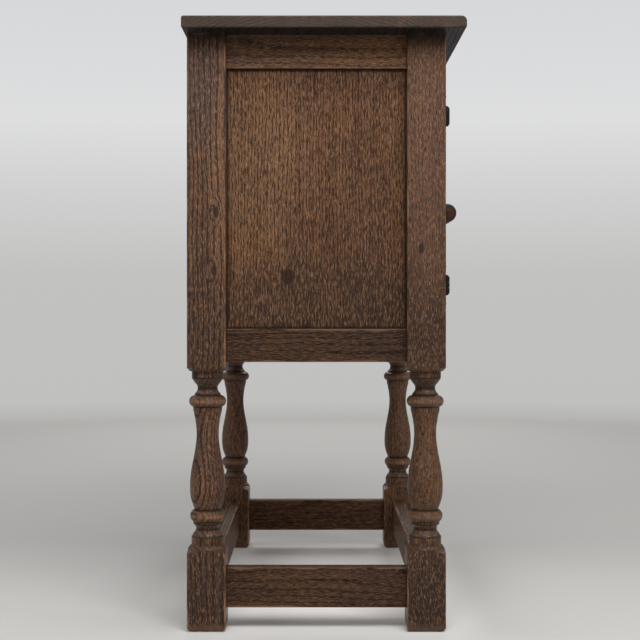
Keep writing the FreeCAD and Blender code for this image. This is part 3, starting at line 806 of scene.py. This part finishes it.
    def dress_boards(self) -> None:
        """Dresses the top board, the shelf, the cupboard floor and their bearers and buttons."""
        cuts = {
            "top_board": Cut(
                Grain.ALONG_X, (0.02, -0.24), 91.0, tone=0.66, gloss=0.42, wear=0.0030, worn=0.30, figure=1.0,
                shades=(
                    # Painted shade on the underside, and darker end grain at both ends.
                    Shade(2, 0.7886, 0.7881, 1.0, (0.009, 0.008, 0.008)),
                    Shade(0, -0.345, -0.3605, 0.50),
                    Shade(0, 0.345, 0.3605, 0.50),
                )),
            "shelf": Cut(Grain.ALONG_X, (0.03, -0.10), 96.5, tone=1.05),
            "floor_board": Cut(Grain.ALONG_X, (-0.05, -0.12), 101.3, tone=1.05),
            "left_shelf_bearer": Cut(Grain.ALONG_Y, (0.03, 0.03), 106.0),
            "right_shelf_bearer": Cut(Grain.ALONG_Y, (-0.03, 0.03), 108.8),
            "top_buttons": Cut(Grain.ALONG_Y, (0.06, 0.05), 111.1, worn=0.0),
        }
        for node, cut in cuts.items():
            dress(node, self.finish.make(node, cut))

    def build(self) -> None:
        """Dresses every still board."""
        self.dress_posts()
        self.dress_rails()
        self.dress_panels()
        self.dress_boards()


@dataclass
class Door:
    """One framed door with its raised panel and knob."""

    side: str
    seed: float
    finish: OakFinish
    knob_finish: OakFinish

    def build(self) -> None:
        """Dresses the door's boards and its knob."""
        turn = 1.0 if self.side == "left" else -1.0
        cuts = {
            "door_hinge_stile": Cut(Grain.ALONG_Z, (0.05 * turn, 0.02), self.seed),
            "door_meeting_stile": Cut(Grain.ALONG_Z, (-0.05 * turn, 0.03), self.seed + 2.7),
            "door_top_rail": Cut(Grain.ALONG_X, (0.05, 0.02), self.seed + 5.1),
            "door_bottom_rail": Cut(Grain.ALONG_X, (-0.05, 0.03), self.seed + 8.8),
            "door_panel": Cut(Grain.ALONG_Z, (0.03 * turn, 0.11), self.seed + 11.9),
        }
        for name, cut in cuts.items():
            node = f"{self.side}_{name}"
            dress(node, self.finish.make(node, cut))
        knob = f"{self.side}_knob"
        dress(knob, self.knob_finish.make(knob, Cut(Grain.ALONG_Y, (0.03, 0.03), self.seed + 15.0, worn=0.0)))


@dataclass
class Nails:
    """Hammered nails that stand where a node's plain ones are.

    Attributes:
        node: the node with the plain nails.
        body: the body they ride.
        metal: their finish.
        seed: fixes which way each one is turned.
        radius: half the width of a head, in metres.
        dent: depth of the hammer marks, in metres.
        across: points round a nail.
        along: points along a nail.
    """

    node: str
    body: str
    metal: bpy.types.Material
    seed: int
    radius: float = 0.00265
    dent: float = 0.00022
    across: int = 18
    along: int = 44

    MARKS_PER_METRE = 620.0
    FULL_TURN = 6.28
    PROFILE_SHARES = ((0.0, 0.36), (0.02, 0.60), (0.05, 0.82), (0.09, 0.94), (0.13, 1.0), (0.155, 0.96),
                      (0.165, 0.49), (0.90, 0.49), (1.0, 0.10))

    def find(self) -> tuple[list[Vector], float]:
        """Finds where the plain nails stand.

        Returns:
            The middle of each head's outer face, and a nail's length.
        """
        shape = bmesh.new()
        shape.from_mesh(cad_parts[self.node].data)
        bmesh.ops.remove_doubles(shape, verts=shape.verts, dist=1e-6)
        left = set(shape.verts)
        places = []
        length = 0.0
        while left:
            nail = [left.pop()]
            for corner in nail:
                for edge in corner.link_edges:
                    other = edge.other_vert(corner)
                    if other in left:
                        left.remove(other)
                        nail.append(other)
            low = Vector([min(corner.co[i] for corner in nail) for i in range(3)])
            high = Vector([max(corner.co[i] for corner in nail) for i in range(3)])
            places.append(Vector((0.5 * (low.x + high.x), low.y, 0.5 * (low.z + high.z))))
            length = high.y - low.y
        shape.free()
        return sorted(places, key=lambda place: (place.x, place.z)), length

    def grow(self, length: float) -> GeometryTree:
        """Makes the tree that turns one nail and sets it on every point.

        Args:
            length: a nail's length, in metres.

        Returns:
            The tree.
        """
        tree = GeometryTree(self.node, {
            "Length": length, "Radius": self.radius, "Dent": self.dent, "Around": self.across,
            "Along": self.along, "Seed": self.seed, "Metal": self.metal})
        tip = tree.vector(0.0, tree.given("Length"), 0.0)
        line = tree.value("GeometryNodeCurvePrimitiveLine", None, {"End": tip})
        line = tree.value("GeometryNodeResampleCurve", None, {"Curve": line, "Count": tree.given("Along")})
        profile = tree.node("ShaderNodeFloatCurve", None, {
            "Value": tree.value("GeometryNodeSplineParameter", None, None, "Factor")})
        curve = profile.mapping.curves[0]
        while len(curve.points) < len(self.PROFILE_SHARES):
            curve.points.new(0.5, 0.5)
        for point, share in zip(curve.points, self.PROFILE_SHARES):
            point.location = share
            point.handle_type = "VECTOR"
        profile.mapping.update()
        width = Value(tree, profile.outputs[0]) * tree.given("Radius")
        unit = {"Resolution": tree.given("Around"), "Radius": 1.0}
        ring = tree.value("GeometryNodeCurvePrimitiveCircle", None, unit)
        line = tree.value("GeometryNodeSetCurveRadius", None, {"Curve": line, "Radius": width})
        scaled = {"Curve": line, "Profile Curve": ring, "Scale": width, "Fill Caps": True}
        nail = tree.value("GeometryNodeCurveToMesh", None, scaled)
        marks = tree.noise(tree.value("GeometryNodeInputPosition", None, None), scale=self.MARKS_PER_METRE, detail=1.0)
        inwards = tree.value("ShaderNodeVectorMath", {"operation": "SCALE"}, {
            0: tree.value("GeometryNodeInputNormal", None, None), "Scale": -1.0 * marks * tree.given("Dent")})
        nail = tree.value("GeometryNodeSetPosition", None, {"Geometry": nail, "Offset": inwards})
        spin = tree.value("FunctionNodeRandomValue", {"data_type": "FLOAT"}, {
            "Min_001": 0.0, "Max_001": self.FULL_TURN, "Seed": tree.given("Seed")}, "Value_001")
        nails = tree.value("GeometryNodeInstanceOnPoints", None, {
            "Points": tree.given("Geometry"), "Instance": nail, "Rotation": tree.vector(0.0, spin, 0.0)})
        tree.finish(nails, "Metal")
        return tree

    def build(self) -> None:
        """Makes the nails and puts them in the place of the plain ones."""
        places, length = self.find()
        nails = self.grow(length).run(f"hammered_{self.node}", places)
        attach(nails, self.body)
        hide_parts(self.node)


@dataclass
class Ironwork:
    """Hinges, their pins and nails, screws, the catch and its strike plates."""

    iron: Metal = Metal((0.016, 0.015, 0.014), (0.070, 0.045, 0.032), 0.6, 0.75, 0.48, 0.00035)
    steel: Metal = Metal((0.52, 0.50, 0.47), (0.22, 0.17, 0.13), 0.4, 1.0, 0.34, 0.00008)
    plastic: Moulding = Moulding((0.060, 0.034, 0.022), 0.45)
    magnet: Moulding = Moulding((0.035, 0.034, 0.034), 0.60)
    sides: tuple[str, str] = ("left", "right")

    def build(self) -> None:
        """Dresses the metal and plastic nodes."""
        iron = self.iron.make("black_iron")
        steel = self.steel.make("bright_steel")
        for side in self.sides:
            for level in ("lower", "upper"):
                for leaf in ("door_leaf", "post_leaf"):
                    dress(f"{side}_{level}_hinge_{leaf}", iron)
            Nails(f"{side}_door_nails", f"{side}_door", iron, seed=len(side)).build()
            dress(f"{side}_strike_plate", steel)
        dress("hinge_pins", iron)
        Nails("post_nails", "cabinet", iron, seed=7).build()
        dress("button_screws", steel)
        dress("catch_screws", steel)
        dress("catch_case", self.plastic.make("brown_plastic"))
        dress("catch_magnets", self.magnet.make("pressed_magnet"))


# ---------------------------------------------------------------- studio
@dataclass
class Studio:
    """Pale floor, pale background, soft lamps and the camera."""

    camera_place: Point = (-2.082, 0.02025, 0.4336)
    focal_pixels: float = 1335.0
    middle_pixels: tuple[float, float] = (316.4, 302.4)
    sensor: float = 36.0
    floor_radius: float = 3.2
    floor_tints: tuple[tuple[float, float], ...] = (
        (-0.367, 0.69), (-0.259, 0.68), (0.003, 0.645), (0.354, 0.56), (0.848, 0.555), (1.372, 0.575), (2.125, 0.57),
        (2.640, 0.58))
    # Paler floor under the cabinet, painted light where its shadow falls.
    floor_painted_light: float = 0.97
    floor_hue: Colour = (1.0, 0.985, 0.955)
    world_light: float = 0.22

    def place_camera(self) -> None:
        """Sets the camera where the photograph was taken from."""
        data = bpy.data.cameras.new("camera")
        data.sensor_width = self.sensor
        data.lens = self.focal_pixels / PHOTO_SIDE * self.sensor
        data.shift_x = 0.5 - self.middle_pixels[0] / PHOTO_SIDE
        data.shift_y = self.middle_pixels[1] / PHOTO_SIDE - 0.5
        camera = bpy.data.objects.new("camera", data)
        camera.location = self.camera_place
        camera.rotation_euler = (math.radians(90.0), 0.0, math.radians(-90.0))
        bpy.context.scene.collection.objects.link(camera)
        bpy.context.scene.camera = camera

    def lay_floor(self) -> None:
        """Lays a round floor that fades into the background."""
        mesh = bpy.data.meshes.new("floor")
        shape = bmesh.new()
        bmesh.ops.create_circle(shape, cap_ends=True, radius=self.floor_radius, segments=96)
        bmesh.ops.translate(shape, verts=shape.verts, vec=(0.0, 0.0, -0.0002))
        shape.to_mesh(mesh)
        shape.free()
        floor = bpy.data.objects.new("floor", mesh)
        bpy.context.scene.collection.objects.link(floor)
        tree = ShaderTree("pale_floor")
        x, y, _ = tree.object_axes()
        away = (x * x + y * y).root()
        near, far = self.floor_tints[0][0], self.floor_tints[-1][0]
        stops = [((place - near) / (far - near), tuple(tint * hue for hue in self.floor_hue))
                 for place, tint in self.floor_tints]
        depth = (x - near) / (far - near)
        colour = tree.value("ShaderNodeValToRGB", {"stops": stops}, {"Fac": depth}, "Color")
        # Painted light: the floor is paler under the cabinet, where its shadow falls.
        under = abs(x).between(0.42, 0.26) * abs(y).between(0.23, 0.12)
        colour = tree.mix(under, colour, tuple(self.floor_painted_light * hue for hue in self.floor_hue))
        shader = tree.node("ShaderNodeBsdfPrincipled", None,
                           {"Base Color": colour, "Roughness": 0.85, "Specular IOR Level": 0.15})
        clear = tree.node("ShaderNodeBsdfTransparent")
        mixed = tree.node("ShaderNodeMixShader", None, {
            0: away.between(2.5, 3.15), 1: Value(tree, shader.outputs[0]), 2: Value(tree, clear.outputs[0])})
        output = tree.node("ShaderNodeOutputMaterial")
        tree.links.new(mixed.outputs[0], output.inputs["Surface"])
        mesh.materials.append(tree.material)

    def light_world(self) -> None:
        """Lights the world evenly and shows a pale gradient behind the object."""
        world = bpy.data.worlds.new("studio")
        bpy.context.scene.world = world
        world.use_nodes = True
        tree = NodeTree(world.node_tree)
        direction = tree.value("ShaderNodeTexCoord", None, None, "Generated")
        split = tree.node("ShaderNodeSeparateXYZ", None, {"Vector": direction})
        height = Value(tree, split.outputs[2])
        stops = [(0.0, (0.45, 0.445, 0.43)), (0.05, (0.53, 0.528, 0.52)), (0.36, (0.54, 0.537, 0.53)),
                 (0.56, (0.63, 0.63, 0.63)), (0.74, (0.73, 0.732, 0.738)), (1.0, (0.68, 0.688, 0.70))]
        share = (height + 0.088) / 0.30
        colour = tree.value("ShaderNodeValToRGB", {"stops": stops}, {"Fac": share}, "Color")
        shown = tree.node("ShaderNodeBackground", None, {"Color": colour, "Strength": 1.0})
        white = (1.0, 1.0, 1.0, 1.0)
        even = tree.node("ShaderNodeBackground", None, {"Color": white, "Strength": self.world_light})
        path = tree.node("ShaderNodeLightPath")
        through = Value(tree, path.outputs["Is Transmission Ray"])
        seen = Value(tree, path.outputs["Is Camera Ray"]).most(through)
        mixed = tree.node("ShaderNodeMixShader", None, {
            0: seen, 1: Value(tree, even.outputs[0]), 2: Value(tree, shown.outputs[0])})
        output = tree.node("ShaderNodeOutputWorld")
        tree.links.new(mixed.outputs[0], output.inputs["Surface"])

    @staticmethod
    def hang_lamp(name: str, place: Point, towards: Point, size: tuple[float, float], power: float) -> None:
        """Hangs a soft rectangular lamp.

        Args:
            name: the lamp's name.
            place: where it hangs.
            towards: where it points.
            size: its width and height.
            power: its strength in watts.
        """
        data = bpy.data.lights.new(name, "AREA")
        data.shape = "RECTANGLE"
        data.size, data.size_y = size
        data.energy = power
        lamp = bpy.data.objects.new(name, data)
        lamp.location = place
        lamp.rotation_euler = (Vector(towards) - Vector(place)).to_track_quat("-Z", "Y").to_euler()
        bpy.context.scene.collection.objects.link(lamp)

    def build(self) -> None:
        """Sets up the whole studio."""
        self.place_camera()
        self.lay_floor()
        self.light_world()
        self.hang_lamp("key", (-1.45, -0.20, 1.85), (-0.3, 0.0, 0.62), (1.4, 1.0), 30.0)
        self.hang_lamp("front_fill", (-0.6, -2.6, 1.9), (0.0, 0.0, 0.3), (1.8, 1.2), 15.0)
        self.hang_lamp("back_fill", (0.2, 2.7, 1.9), (0.0, 0.0, 0.3), (1.8, 1.2), 15.0)
        self.hang_lamp("far_fill", (2.8, 0.0, 2.1), (0.8, 0.0, 0.0), (2.2, 1.2), 34.0)
        bpy.context.scene.view_settings.view_transform = "Standard"


def main() -> None:
    """Builds the classes in order and reports each piece."""
    logging.basicConfig(level=logging.INFO, format="%(name)s: %(message)s")
    Studio().build()
    oak = OakFinish(Oak())
    dark = OakFinish(Oak(pale=(0.060, 0.036, 0.024), mid=(0.036, 0.022, 0.015), deep=(0.018, 0.011, 0.008),
                         bright=(0.075, 0.045, 0.030), roughness=0.34))
    Carcass(oak).build()
    Door("left", 121.0, oak, dark).build()
    Door("right", 151.0, oak, dark).build()
    Ironwork().build()


if __name__ == "__main__":
    main()
